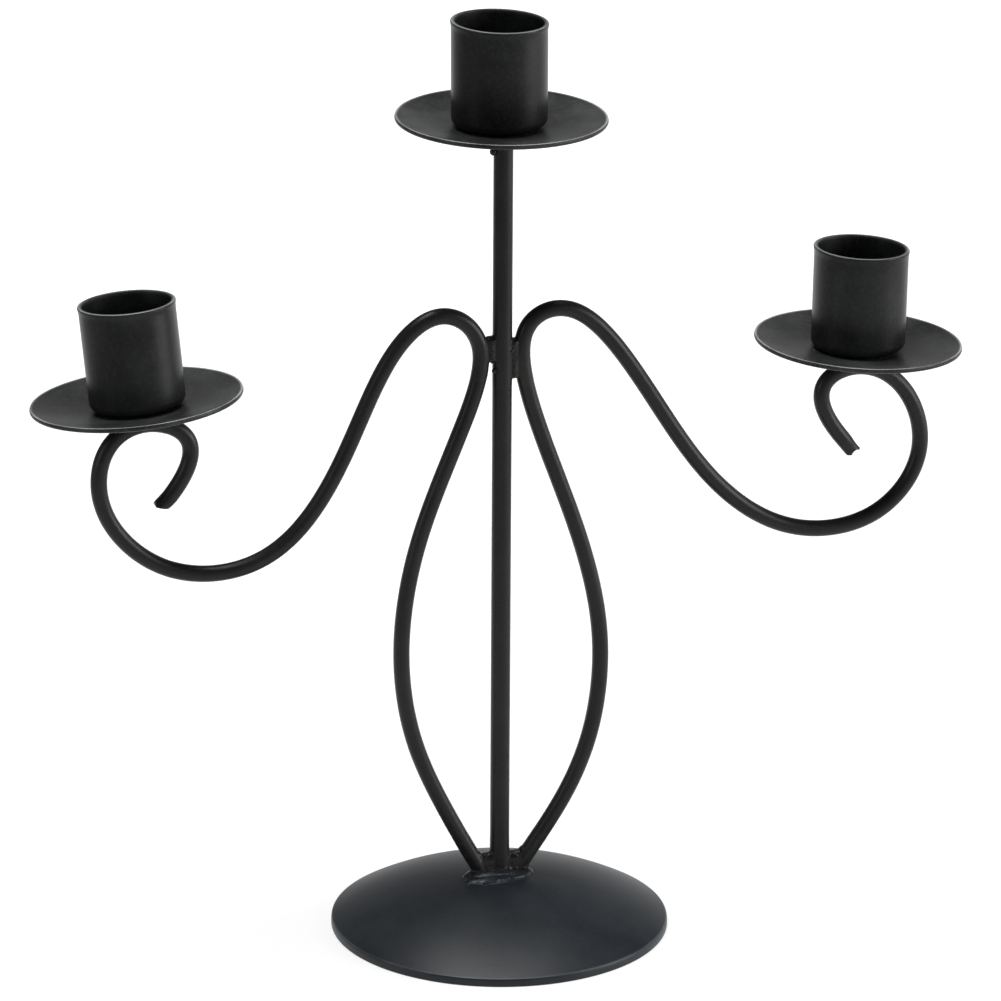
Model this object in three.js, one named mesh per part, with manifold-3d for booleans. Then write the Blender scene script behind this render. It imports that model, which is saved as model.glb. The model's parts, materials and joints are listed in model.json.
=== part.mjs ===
// Tabletop candelabra: a stem and two bent-rod arms welded to a pressed dome base, with three
// drip pans and three candle cups. Millimetres, +Z up, origin on the table under the stem;
// the two arms lie in the XZ plane.
import * as THREE from "three";
import { NURBSCurve } from "three/addons/curves/NURBSCurve.js";
import { mergeVertices } from "three/addons/utils/BufferGeometryUtils.js";
import Module from "manifold-3d";

// ---------------------------------------------------------------- driving dimensions
const GAP = 0.3; // clearance kept between pieces that touch
const WELD_GAP = 0.2; // clearance kept between a weld and the rods it joins
const SHEET = 1.2; // pressed sheet with its coating

const DOME = { radius: 44.4, height: 14, skirt: 1.2, edgeRound: 1.0 };
const STEM = { radius: 2.55, top: 215.7 };
const ROD = { radius: 2.15, sides: 12, steps: 72, degree: 3 };
const PAN = { radius: 27.2, depth: 3.3 };
const CUP = { radius: 12.3, lipRadius: 12.5, height: 27.2, wall: 1.1, corner: 2.4, lift: 0.85 };
const NUGGET_RADIUS = 3;

// Control points of each arm's centreline, as distance out from the stem and height: a foot on
// the dome, a leg that bows out, the weld at the stem, the shoulder loop, the sweep and the scroll.
const ARM_LEFT = [
  [5, 15], [8.5, 21], [15.5, 34], [24, 52.5], [27.5, 73.5], [26, 94], [21, 113.5], [11, 137],
  [2, 160.5], [16, 172.5], [30.5, 160.5], [40.5, 135], [51.5, 115], [67, 103.5], [90.5, 104.5],
  [108, 123], [105.5, 144], [88, 149], [77, 137.5], [91, 122.5],
];
const ARM_RIGHT = [
  [5, 15], [9, 21], [18, 33], [26, 52.5], [28, 75.5], [24.5, 95.5], [18, 115.5], [7.5, 142],
  [2.5, 165.5], [19, 171.5], [34, 153.5], [47.5, 130.5], [60.5, 113.5], [79, 101], [103.5, 102],
  [118, 121], [109.5, 143.5], [91, 149], [82, 137.5], [96.5, 122.5],
];

// Where each pan and cup stands. The angles are the small errors of hand welding, in degrees:
// [about X, about Y] for the pan and the cup, and the slope of the cup's trimmed rim across X.
const STATIONS = {
  top: { x: -0.6, z: 217.2, panTilt: [0.8, 0.7], cupShift: -0.5, cupTilt: [0.9, -0.5], rimSlope: 2.2 },
  left: { x: -95.8, z: 150.3, panTilt: [-3, -4.8], cupShift: 0.2, cupTilt: [-3.5, -5], rimSlope: 0.8 },
  right: { x: 96.3, z: 150.4, panTilt: [0.4, 3], cupShift: 0.1, cupTilt: [-0.1, 0.9], rimSlope: 2 },
};

// Weld beads that fill the groove between the stem and an arm: the heights that each one spans.
const UPPER_WELDS = { left: [155.2, 162.4], right: [150.4, 161.6] };
const LEG_WELD_TOP = 20.6;

const wasm = await Module();
wasm.setup();

// ---------------------------------------------------------------- materials
const coat = (color, roughness) => new THREE.MeshStandardMaterial({ color, roughness, metalness: 0.1 });
const rodCoat = coat(0x26282a, 0.5);
const panCoat = coat(0x2a2c2d, 0.6);
const cupCoat = coat(0x1f2122, 0.45);
const domeCoat = coat(0x2b3136, 0.6);
const weldCoat = coat(0x2a2a2a, 0.4);

// ---------------------------------------------------------------- helpers
const rad = THREE.MathUtils.degToRad;

/** Turns the faces of a closed geometry outwards if they point in. */
function facingOut(geometry) {
  const flat = geometry.index ? geometry.toNonIndexed() : geometry;
  const p = flat.attributes.position;
  const [a, b, c] = [new THREE.Vector3(), new THREE.Vector3(), new THREE.Vector3()];
  let volume = 0;
  for (let i = 0; i < p.count; i += 3) {
    a.fromBufferAttribute(p, i);
    b.fromBufferAttribute(p, i + 1);
    c.fromBufferAttribute(p, i + 2);
    volume += a.dot(b.cross(c));
  }
  if (volume > 0) return flat;
  for (let i = 0; i < p.count; i += 3) {
    a.fromBufferAttribute(p, i);
    b.fromBufferAttribute(p, i + 1);
    p.setXYZ(i, b.x, b.y, b.z);
    p.setXYZ(i + 1, a.x, a.y, a.z);
  }
  return flat;
}

/** A solid of revolution about +Z from a closed path of radius and height. */
function turned(path, segments, arcSteps = 3) {
  const points = path.getPoints(arcSteps);
  const geometry = new THREE.LatheGeometry(points, segments);
  geometry.rotateX(Math.PI / 2);
  return facingOut(geometry);
}

/** A round rod along a curve, with flat ends. */
function sweptRod(curve, radius, steps = ROD.steps) {
  const section = new THREE.Shape();
  for (let i = 0; i < ROD.sides; i += 1) {
    const angle = (2 * Math.PI * i) / ROD.sides;
    const place = i === 0 ? "moveTo" : "lineTo";
    section[place](radius * Math.cos(angle), radius * Math.sin(angle));
  }
  section.closePath();
  const options = { steps, curveSegments: 1, extrudePath: curve, bevelEnabled: false };
  return facingOut(new THREE.ExtrudeGeometry(section, options));
}

/** An upright cylinder between two heights. */
function post(radius, bottom, top, sides = 24) {
  const geometry = new THREE.CylinderGeometry(radius, radius, top - bottom, sides);
  geometry.rotateX(Math.PI / 2);
  geometry.translate(0, 0, (bottom + top) / 2);
  return geometry;
}

/** An ellipsoid with the given half sizes about a centre. */
function ellipsoid(halfSizes, centre, around = 16, down = 10) {
  const geometry = new THREE.SphereGeometry(1, around, down);
  geometry.rotateX(Math.PI / 2);
  geometry.scale(...halfSizes);
  geometry.translate(...centre);
  return geometry;
}

function solid(geometry) {
  const bare = geometry.clone();
  bare.deleteAttribute("normal");
  bare.deleteAttribute("uv");
  const merged = mergeVertices(bare, 1e-4);
  const vertProperties = Float32Array.from(merged.attributes.position.array);
  const triVerts = Uint32Array.from(merged.index.array);
  return new wasm.Manifold(new wasm.Mesh({ numProp: 3, vertProperties, triVerts }));
}

function fromSolid(body) {
  const mesh = body.getMesh();
  const geometry = new THREE.BufferGeometry();
  geometry.setAttribute("position", new THREE.BufferAttribute(Float32Array.from(mesh.vertProperties), 3));
  geometry.setIndex(new THREE.BufferAttribute(Uint32Array.from(mesh.triVerts), 1));
  geometry.computeVertexNormals();
  return geometry;
}

/** The first geometry with all the others cut away from it. */
function cut(geometry, ...cutters) {
  return fromSolid(cutters.reduce((body, cutter) => body.subtract(solid(cutter)), solid(geometry)));
}

const candelabra = new THREE.Group();

function add(parent, name, geometry, material) {
  const mesh = new THREE.Mesh(geometry, material);
  mesh.name = name;
  parent.add(mesh);
  return mesh;
}

// ---------------------------------------------------------------- dome base
/** The dome's outer curve as an arc through the shoulder and the top, raised by an offset. */
function domeArc(offset) {
  const rise = DOME.height - DOME.skirt - DOME.edgeRound;
  const halfWidth = DOME.radius - 0.25;
  const arcRadius = (halfWidth ** 2 + rise ** 2) / (2 * rise);
  const angle = Math.asin(halfWidth / arcRadius);
  return { centre: DOME.height - arcRadius, radius: arcRadius + offset, angle };
}

function domeShell() {
  const outer = domeArc(0);
  const inner = domeArc(-SHEET);
  const innerWall = DOME.radius - SHEET;
  const innerAngle = Math.asin((innerWall - 0.4) / inner.radius);
  const path = new THREE.Path();
  path.moveTo(0, inner.centre + inner.radius);
  path.absarc(0, inner.centre, inner.radius, Math.PI / 2, Math.PI / 2 - innerAngle, true);
  path.lineTo(innerWall, DOME.skirt);
  path.lineTo(innerWall, 0);
  path.lineTo(DOME.radius, 0);
  path.lineTo(DOME.radius, DOME.skirt);
  path.lineTo(outer.radius * Math.sin(outer.angle), outer.centre + outer.radius * Math.cos(outer.angle));
  path.absarc(0, outer.centre, outer.radius, Math.PI / 2 - outer.angle, Math.PI / 2, false);
  return turned(path, 36, 4);
}

/** Everything under the dome's outer face and up to an offset above it. */
function underDome(offset) {
  const arc = domeArc(offset);
  const path = new THREE.Path();
  path.moveTo(0, 0);
  path.lineTo(arc.radius * Math.sin(arc.angle), 0);
  path.absarc(0, arc.centre, arc.radius, Math.PI / 2 - arc.angle, Math.PI / 2, false);
  path.lineTo(0, 0);
  return turned(path, 36, 4);
}

// ---------------------------------------------------------------- rods
/** An arm's centreline: a clamped uniform B-spline in the XZ plane, side -1 left or +1 right. */
function armCurve(points, side) {
  const spans = points.length - ROD.degree;
  const inside = Array.from({ length: spans + 1 }, (_, i) => i / spans);
  const knots = [...Array(ROD.degree).fill(0), ...inside, ...Array(ROD.degree).fill(1)];
  const curve = new NURBSCurve(
    ROD.degree, knots, points.map(([out, height]) => new THREE.Vector4(side * out, 0, height, 1)),
  );
  curve.arcLengthDivisions = 1200;
  return curve;
}

const curves = { left: armCurve(ARM_LEFT, -1), right: armCurve(ARM_RIGHT, 1) };
const fatRods = {
  left: sweptRod(curves.left, ROD.radius + WELD_GAP),
  right: sweptRod(curves.right, ROD.radius + WELD_GAP),
};
const fatStem = post(STEM.radius + WELD_GAP, 0, STEM.top + 5);

/** A box with its +X face at the end of an arm, turned to cut the rod's tip at an angle. */
function tipCutter(curve, turn, back) {
  const end = curve.getPoint(1);
  const along = curve.getTangent(1);
  const heading = Math.atan2(along.z, along.x);
  const cutter = new THREE.BoxGeometry(8, 8, 8);
  cutter.translate(4 - back, 0, 0);
  cutter.rotateY(-heading - rad(turn));
  cutter.translate(end.x, end.y, end.z);
  return cutter;
}

/** The right arm's tip has a hollow across it, left by worn shears. */
function tipHollow(curve) {
  const end = curve.getPoint(1);
  const hollow = new THREE.CylinderGeometry(1.3, 1.3, 8, 12);
  hollow.translate(end.x, end.y, end.z);
  hollow.translate(curve.getTangent(1).x * 0.8, 0, curve.getTangent(1).z * 0.8);
  return hollow;
}

// ---------------------------------------------------------------- pans and cups
/** A shallow dish with its upper face's centre at the origin. */
function panDish() {
  const arcRadius = (PAN.radius ** 2 + PAN.depth ** 2) / (2 * PAN.depth);
  const angle = Math.asin((PAN.radius - 0.3) / arcRadius);
  const lowRadius = arcRadius + SHEET;
  const path = new THREE.Path();
  path.moveTo(0, -SHEET);
  path.absarc(0, arcRadius, lowRadius, -Math.PI / 2, -Math.PI / 2 + angle - 0.004, false);
  path.lineTo(PAN.radius, PAN.depth - SHEET / 2);
  path.absarc(0, arcRadius, arcRadius, -Math.PI / 2 + angle, -Math.PI / 2, true);
  return turned(path, 32, 3);
}

/** The space from just under a pan upwards. */
function abovePan() {
  const arcRadius = (PAN.radius ** 2 + PAN.depth ** 2) / (2 * PAN.depth);
  const path = new THREE.Path();
  path.moveTo(0, -SHEET - GAP);
  path.absarc(0, arcRadius, arcRadius + SHEET + GAP, -Math.PI / 2, -Math.PI / 2 + 0.13, false);
  path.lineTo((arcRadius + SHEET + GAP) * Math.sin(0.13), 12);
  path.lineTo(0, 12);
  path.lineTo(0, -SHEET - GAP);
  return turned(path, 24, 3);
}

/** A drawn cup standing on z = 0, with a faint lip and its rim trimmed at a slope across X. */
function drawnCup(rimSlope) {
  const { radius, lipRadius, height, wall, corner } = CUP;
  const inner = radius - wall;
  const innerCorner = corner - wall;
  const path = new THREE.Path();
  path.moveTo(0, 0);
  path.lineTo(radius - corner, 0);
  path.absarc(radius - corner, corner, corner, -Math.PI / 2, 0, false);
  path.lineTo(radius, height - 1.2);
  path.lineTo(lipRadius, height - 0.5);
  path.lineTo(lipRadius - 0.25, height);
  path.lineTo(inner + 0.25, height);
  path.lineTo(inner, height - 0.4);
  path.lineTo(inner, wall + innerCorner);
  path.absarc(inner - innerCorner, wall + innerCorner, innerCorner, 0, -Math.PI / 2, true);
  path.lineTo(0, wall);
  const geometry = turned(path, 28, 2);
  const p = geometry.attributes.position;
  const fall = Math.tan(rad(rimSlope));
  for (let i = 0; i < p.count; i += 1) {
    const share = Math.max(0, (p.getZ(i) - corner) / (height - corner));
    p.setZ(i, p.getZ(i) - fall * p.getX(i) * share);
  }
  return geometry;
}

/** The fused spot between a cup's floor and its pan. */
function weldNugget() {
  return post(NUGGET_RADIUS, -CUP.lift + 0.25, -0.2, 16);
}

// ---------------------------------------------------------------- assembly
const underfoot = underDome(GAP);
add(candelabra, "base_dome", domeShell(), domeCoat);
add(candelabra, "stem", cut(post(STEM.radius, DOME.height - 2, STEM.top), underfoot), rodCoat);

const stemClear = post(STEM.radius + WELD_GAP, 0, 30);
const armLeft = cut(
  sweptRod(curves.left, ROD.radius), underfoot, stemClear,
  tipCutter(curves.left, 48, 0.6), tipCutter(curves.left, -20, 0.2),
);
const armRight = cut(
  sweptRod(curves.right, ROD.radius), underfoot, stemClear,
  tipCutter(curves.right, 14, 0), tipHollow(curves.right),
);
add(candelabra, "arm_left", armLeft, rodCoat);
add(candelabra, "arm_right", armRight, rodCoat);

const padSize = [9.4, 7, 2.4];
const padCentre = [-1.2, -0.6, DOME.height - 0.4];
const skirt = ellipsoid(padSize, padCentre, 14, 8);
add(candelabra, "weld_base_skirt", cut(skirt, underfoot, fatStem, fatRods.left, fatRods.right), weldCoat);

for (const [name, side] of [["left", -1], ["right", 1]]) {
  // Upper weld: fills the groove between the arm and the stem, front and back.
  const [low, high] = UPPER_WELDS[name];
  const size = [2.3, 1.9, (high - low) / 2];
  const bead = ellipsoid(size, [side * 2.9, 0, (low + high) / 2], 14, 10);
  add(candelabra, `weld_arm_${name}`, cut(bead, fatStem, fatRods[name]), weldCoat);

  // Leg weld: a web in the V between the leg and the stem, hollowed along its top.
  const web = new THREE.BoxGeometry(6.5, 3.2, LEG_WELD_TOP - DOME.height);
  web.translate(side * 4.2, 0, (LEG_WELD_TOP + DOME.height) / 2);
  const dip = new THREE.CylinderGeometry(1.7, 1.7, 8, 14);
  dip.translate(side * 4.3, 0, LEG_WELD_TOP + 0.6);
  const pad = ellipsoid(padSize.map((half) => half + GAP), padCentre, 14, 8);
  const legWeld = cut(web, dip, pad, underfoot, fatStem, fatRods[name], legOutside(side));
  add(candelabra, `weld_leg_${name}`, legWeld, weldCoat);
}

/** The space outside a leg's centreline near its foot. */
function legOutside(side) {
  const curve = side < 0 ? curves.left : curves.right;
  const foot = curve.getPoint(0);
  const along = curve.getTangent(0);
  const block = new THREE.BoxGeometry(12, 8, 40);
  block.translate(side * 6, 0, 0);
  block.rotateY(Math.atan2(along.x, along.z));
  block.translate(foot.x, 0, foot.z);
  return block;
}

const stray = ellipsoid([0.7, 0.7, 0.9], [-2.3, -1.3, 153.2], 8, 6);
add(candelabra, "weld_bead_low_left", cut(stray, fatStem, fatRods.left), weldCoat);
const spatter = ellipsoid([0.95, 0.95, 0.95], [-2.7, -0.9, 211.3], 10, 8);
add(candelabra, "weld_spatter_bead", cut(spatter, fatStem), weldCoat);

for (const [name, station] of Object.entries(STATIONS)) {
  const panFrame = new THREE.Group();
  panFrame.position.set(station.x, 0, station.z);
  panFrame.rotation.set(rad(station.panTilt[0]), rad(station.panTilt[1]), 0);
  candelabra.add(panFrame);
  add(panFrame, `drip_pan_${name}`, panDish(), panCoat);

  const cupFrame = new THREE.Group();
  cupFrame.position.set(station.x + station.cupShift, 0, station.z + CUP.lift);
  cupFrame.rotation.set(rad(station.cupTilt[0]), rad(station.cupTilt[1]), 0);
  candelabra.add(cupFrame);
  add(cupFrame, `candle_cup_${name}`, drawnCup(station.rimSlope), cupCoat);
  add(cupFrame, `weld_cup_${name}`, weldNugget(), weldCoat);

  // Weld between the pan's underside and the rod that carries it.
  panFrame.updateMatrixWorld(true);
  const clear = abovePan().applyMatrix4(panFrame.matrixWorld);
  const onStem = name === "top";
  const top = onStem ? new THREE.Vector3(0, 0, STEM.top) : scrollTop(curves[name]);
  const collar = onStem ? ellipsoid([4.6, 4.6, 2.6], [0, 0, STEM.top], 16, 10)
    : ellipsoid([5.2, 3.3, 2.6], [top.x, 0, top.z + ROD.radius], 16, 10);
  add(candelabra, `weld_pan_${name}`, cut(collar, clear, onStem ? fatStem : fatRods[name]), weldCoat);
}

/** The highest point of an arm's scroll. */
function scrollTop(curve) {
  const points = curve.getPoints(400).slice(280);
  return points.reduce((best, point) => (point.z > best.z ? point : best));
}

export default candelabra;
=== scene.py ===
"""Looks of a tabletop candelabra: a stem and two bent-rod arms on a dome, with pans and cups.

Objects are in metres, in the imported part's frame. Sizes inside the classes are in millimetres
and become metres when a mesh is finished.
"""

import json
import logging
import math
from dataclasses import dataclass, field, replace
from enum import Enum
from typing import Any, Mapping, Sequence, Union

import bmesh
import bpy
import numpy as np
from mathutils import Matrix, Vector


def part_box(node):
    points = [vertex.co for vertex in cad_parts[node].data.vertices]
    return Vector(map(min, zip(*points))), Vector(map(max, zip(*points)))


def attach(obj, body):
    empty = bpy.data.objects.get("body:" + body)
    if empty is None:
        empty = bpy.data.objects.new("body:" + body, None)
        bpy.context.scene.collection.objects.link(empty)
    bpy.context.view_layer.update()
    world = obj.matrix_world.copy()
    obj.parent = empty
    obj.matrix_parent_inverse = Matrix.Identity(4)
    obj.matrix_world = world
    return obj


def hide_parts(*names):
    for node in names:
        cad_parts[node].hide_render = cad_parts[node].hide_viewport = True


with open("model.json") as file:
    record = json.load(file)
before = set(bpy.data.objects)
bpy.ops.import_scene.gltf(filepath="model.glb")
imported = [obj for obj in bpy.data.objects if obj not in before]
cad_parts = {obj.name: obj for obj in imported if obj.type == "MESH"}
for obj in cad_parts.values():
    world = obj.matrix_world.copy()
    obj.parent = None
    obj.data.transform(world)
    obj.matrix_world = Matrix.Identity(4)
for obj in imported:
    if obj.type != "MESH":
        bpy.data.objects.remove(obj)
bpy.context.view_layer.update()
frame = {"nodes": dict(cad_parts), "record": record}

LOG = logging.getLogger("candelabra")
MM = 0.001

SHEARED_COAT = 0.7      # how thin the coat is on a tip's sheared faces, from 0 to 1
FACE_SLACK = 0.03       # how near a cut a point counts as being on it, in millimetres
TIP_SPAN = 9.0          # how far round an arm's end the shears reach, in millimetres
TIP_SHARE = 0.8         # the share of a tip's reach that is pressed and merged
HOLLOW_DEPTH = 0.85     # how deep the shears' hollow is, in millimetres
SLEEVE_LIFT = 0.03      # how thick a weld's sleeve is, in millimetres
SLEEVE_DIP = 0.11       # how far a sleeve's end drops from that, in millimetres
SLEEVE_END = 0.2        # the share of a sleeve over which each end sinks in
FUSED_FROM = 0.02       # the clearance at which weld metal starts to look fused, in millimetres
FUSED_OVER = 0.25       # the clearance over which it turns fully fused, in millimetres
PUDDLE_REACH = 14.5     # the radius of the puddle's skin on the dome, in millimetres
PUDDLE_SINK = 0.9       # how far that skin reaches into the dome's sheet, in millimetres

Point = tuple[float, float, float]
Path2 = Sequence[tuple[float, float]]


# ------------------------------------------------------------------------------ node graphs
class Signal:
    """A node's output that adds Math nodes when it takes part in arithmetic."""

    def __init__(self, graph: "NodeGraph", socket: bpy.types.NodeSocket) -> None:
        """Wraps one output socket of a graph."""
        self.graph = graph
        self.socket = socket

    def _math(self, operation: str, first: "Operand", second: "Operand") -> "Signal":
        """Adds one Math node with two operands."""
        return self.graph.signal("ShaderNodeMath", {"operation": operation}, {0: first, 1: second})

    def __add__(self, other: "Operand") -> "Signal":
        """Sum with a signal or number."""
        return self._math("ADD", self, other)

    def __radd__(self, other: "Operand") -> "Signal":
        """Sum with a number on the left."""
        return self._math("ADD", other, self)

    def __sub__(self, other: "Operand") -> "Signal":
        """Difference with a signal or number."""
        return self._math("SUBTRACT", self, other)

    def __rsub__(self, other: "Operand") -> "Signal":
        """Difference from a number on the left."""
        return self._math("SUBTRACT", other, self)

    def __mul__(self, other: "Operand") -> "Signal":
        """Product with a signal or number."""
        return self._math("MULTIPLY", self, other)

    def __rmul__(self, other: "Operand") -> "Signal":
        """Product with a number on the left."""
        return self._math("MULTIPLY", other, self)

    def __truediv__(self, other: "Operand") -> "Signal":
        """Quotient by a signal or number."""
        return self._math("DIVIDE", self, other)

    def __rtruediv__(self, other: "Operand") -> "Signal":
        """Quotient of a number on the left."""
        return self._math("DIVIDE", other, self)

    def rise(self, low: float, high: float) -> "Signal":
        """A smooth step from 0 at a low value to 1 at a high one.

        Args:
            low: the value at and under which the result is 0.
            high: the value at and over which the result is 1.

        Returns:
            The stepped signal.
        """
        return self.graph.signal(
            "ShaderNodeMapRange", {"interpolation_type": "SMOOTHSTEP"},
            {"Value": self, "From Min": low, "From Max": high},
        )


Operand = Union[Signal, float]


class NodeGraph:
    """Adds and links the nodes of one tree."""

    def __init__(self, tree: bpy.types.NodeTree) -> None:
        """Starts on a tree."""
        self.tree = tree

    def node(
        self, kind: str, settings: Mapping[str, Any] | None = None,
        inputs: Mapping[str | int, Any] | None = None,
    ) -> bpy.types.Node:
        """Adds a node, sets its settings first, then fills its sockets.

        Args:
            kind: the node's type.
            settings: its properties, such as a Math node's operation.
            inputs: a value or a signal for each named or numbered socket.

        Returns:
            The new node.
        """
        made = self.tree.nodes.new(kind)
        for name, value in (settings or {}).items():
            setattr(made, name, value)
        for key, value in (inputs or {}).items():
            if isinstance(value, Signal):
                self.tree.links.new(value.socket, made.inputs[key])
            else:
                made.inputs[key].default_value = value
        return made

    def signal(
        self, kind: str, settings: Mapping[str, Any] | None = None,
        inputs: Mapping[str | int, Any] | None = None, output: int | str = 0,
    ) -> Signal:
        """Adds a node and gives one of its outputs.

        Args:
            kind: the node's type.
            settings: its properties.
            inputs: a value or a signal for each socket.
            output: the name or number of the output wanted.

        Returns:
            The output as a signal.
        """
        return Signal(self, self.node(kind, settings, inputs).outputs[output])


# ---------------------------------------------------------------------------------- finishes
@dataclass(frozen=True)
class PowderCoat:
    """A baked black powder coat: orange peel, fine grain, drifting gloss, and lightened edges that
    stand for thin coat and for painted highlights.
    """

    name: str
    slot: str
    colour: tuple[float, float, float]
    # the lighter colour of thin coat at sharp edges, which also paints highlight lines on rims
    wear_and_highlight_colour: tuple[float, float, float]
    roughness: float
    gloss_drift: float = 0.1
    specular: float = 0.17
    peel_size: float = 1.1
    peel_height: float = 0.004
    grain_size: float = 0.28
    grain_height: float = 0.0016
    speckle: float = 0.0
    mottle: float = 1.0
    scale_height: float = 0.0
    wear_and_highlight_weight: float = 0.6

    def material(self) -> bpy.types.Material:
        """Makes the finish's material, or finds it if it is made already.

        Returns:
            The material.
        """
        known = bpy.data.materials.get(self.name)
        if known:
            return known
        made = bpy.data.materials.new(self.name)
        made.use_nodes = True
        made.node_tree.nodes.clear()
        graph = NodeGraph(made.node_tree)
        place = graph.signal("ShaderNodeTexCoord", output="Object")

        def noise(size: float, detail: float, roughness: float = 0.5) -> Signal:
            """A noise of a given size in millimetres, from 0 to 1."""
            return graph.signal("ShaderNodeTexNoise", {"noise_dimensions": "3D"}, {
                "Vector": place, "Scale": 1 / (size * MM), "Detail": detail, "Roughness": roughness,
            })

        peel = noise(self.peel_size, 1.5)
        grain = noise(self.grain_size, 2.0, 0.6)
        drift = noise(17.0, 3.0, 0.55)
        edge = graph.signal(
            "ShaderNodeAttribute", {"attribute_type": "GEOMETRY", "attribute_name": "edge"},
            output="Fac",
        )
        # Wear and painted highlight: where a point's edge share is set, the colour is lightened
        # towards the edge colour, for thin coat at sharp edges and as painted highlight lines on
        # the pan rims, the cup lips and the dome's shoulder.
        wear_and_highlight = edge * (0.35 + drift.rise(0.3, 0.7) * 0.65) * self.wear_and_highlight_weight
        flecks = (grain.rise(0.5, 0.72) + peel.rise(0.45, 0.7) * 0.4) * self.speckle

        height = (peel - 0.5) * (self.peel_height * MM) + (grain - 0.5) * (self.grain_height * MM)
        tone = wear_and_highlight + (flecks * 0.6 + drift.rise(0.35, 0.75) * 0.22) * self.mottle
        rough = (
            self.roughness + (drift - 0.5) * self.gloss_drift + (grain - 0.5) * 0.12 - wear_and_highlight * 0.1
        )
        if self.scale_height:
            fused = graph.signal(
                "ShaderNodeAttribute", {"attribute_type": "GEOMETRY", "attribute_name": "fused"},
                output="Fac",
            )
            scale = graph.signal(
                "ShaderNodeTexVoronoi", {"feature": "SMOOTH_F1"},
                {"Vector": place, "Scale": 1 / (0.8 * MM), "Smoothness": 0.6},
            ).rise(0.15, 0.6)
            height = height + fused * scale * (self.scale_height * MM)
            tone = tone + fused * (noise(0.9, 1.0).rise(0.52, 0.7) * 0.25 - 0.08)
            rough = rough - fused * 0.06
        bump = graph.signal(
            "ShaderNodeBump", {}, {"Strength": 1.0, "Distance": 1.0, "Height": height}, "Normal",
        )
        colour = graph.signal("ShaderNodeMix", {"data_type": "RGBA"}, {
            "Factor": tone, 6: (*self.colour, 1.0), 7: (*self.wear_and_highlight_colour, 1.0),
        }, 2)
        shader = graph.signal("ShaderNodeBsdfPrincipled", {}, {
            "Base Color": colour, "Roughness": rough, "Normal": bump,
            "Specular IOR Level": self.specular,
        })
        graph.node("ShaderNodeOutputMaterial", {}, {"Surface": shader})
        return made


ROD_COAT = PowderCoat(
    name="rod_powder_coat", slot="rod_coat", colour=(0.0055, 0.0061, 0.006),
    wear_and_highlight_colour=(0.03, 0.03, 0.029), roughness=0.36, specular=0.21, peel_height=0.01,
    grain_height=0.01, speckle=0.3,
)
# The pan's pale edge colour paints a highlight line along its rim, besides thin coat.
PAN_COAT = PowderCoat(
    name="pan_powder_coat", slot="pan_coat", colour=(0.0055, 0.0058, 0.0058),
    wear_and_highlight_colour=(0.32, 0.33, 0.335), roughness=0.4, specular=0.19, wear_and_highlight_weight=1.0,
    grain_size=0.34, grain_height=0.034, peel_height=0.014, speckle=0.35, mottle=0.35,
)
# The cup's pale edge colour paints a highlight on its lip, besides thin coat.
CUP_COAT = PowderCoat(
    name="cup_powder_coat", slot="cup_coat", colour=(0.0035, 0.0036, 0.0036),
    wear_and_highlight_colour=(0.2, 0.21, 0.22), roughness=0.34, specular=0.18, wear_and_highlight_weight=1.0,
    peel_height=0.012, grain_height=0.016, speckle=0.3, mottle=0.25,
)
# The dome's pale edge colour paints a highlight band on its shoulder, besides thin coat.
DOME_COAT = PowderCoat(
    name="dome_powder_coat", slot="dome_coat", colour=(0.0055, 0.0082, 0.0115),
    wear_and_highlight_colour=(0.2, 0.22, 0.24), roughness=0.42, specular=0.28, wear_and_highlight_weight=0.3,
    peel_height=0.01, grain_height=0.012, speckle=0.3, mottle=0.16,
)
WELD_COAT = replace(
    ROD_COAT, name="weld_powder_coat", slot="weld_coat", wear_and_highlight_colour=(0.042, 0.04, 0.036),
    scale_height=0.014,
)
PUDDLE_COAT = replace(
    DOME_COAT, name="puddle_powder_coat", slot="weld_coat", wear_and_highlight_colour=(0.036, 0.037, 0.037),
    scale_height=0.02, mottle=1.0,
)


# ------------------------------------------------------------------------------ mesh helpers
def plain_mesh(host: bpy.types.Object) -> bpy.types.Mesh:
    """Gives a plain mesh of an object as its modifiers leave it, and deletes the object.

    Args:
        host: the object with its modifiers.

    Returns:
        The mesh.
    """
    bpy.context.view_layer.update()
    graph = bpy.context.evaluated_depsgraph_get()
    mesh = bpy.data.meshes.new_from_object(
        host.evaluated_get(graph), preserve_all_data_layers=True, depsgraph=graph,
    )
    host.modifiers.clear()
    bpy.data.objects.remove(host)
    return mesh


def points_of(mesh: bpy.types.Mesh) -> np.ndarray:
    """A mesh's points as rows of an array."""
    flat = np.empty(len(mesh.vertices) * 3)
    mesh.vertices.foreach_get("co", flat)
    return flat.reshape(-1, 3)


def add_shares(mesh: bpy.types.Mesh, name: str, values: np.ndarray) -> None:
    """Gives each point of a mesh a value from 0 to 1 that its finish reads."""
    layer = mesh.attributes.new(name, "FLOAT", "POINT")
    layer.data.foreach_set("value", values.astype(np.float32))


def eased(share: np.ndarray) -> np.ndarray:
    """A share from 0 to 1 with soft ends."""
    return share * share * (3 - 2 * share)


def linked(name: str, data: bpy.types.ID) -> bpy.types.Object:
    """Makes an object for some data and links it to the scene."""
    made = bpy.data.objects.new(name, data)
    bpy.context.scene.collection.objects.link(made)
    return made


def dressed(name: str, mesh: bpy.types.Mesh, coat: PowderCoat, *nodes: str) -> bpy.types.Object:
    """Turns a mesh in metres into a finished piece that stands for CAD nodes.

    Args:
        name: the piece's name.
        mesh: its mesh, already in place.
        coat: its finish.
        *nodes: the CAD nodes that it stands for.

    Returns:
        The piece.
    """
    mesh.name = name
    mesh.materials.clear()
    mesh.materials.append(coat.material())
    mesh.shade_smooth()
    piece = linked(name, mesh)
    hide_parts(*nodes)
    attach(piece, "root")
    LOG.info("%s: %d faces", name, len(mesh.polygons))
    return piece


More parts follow.
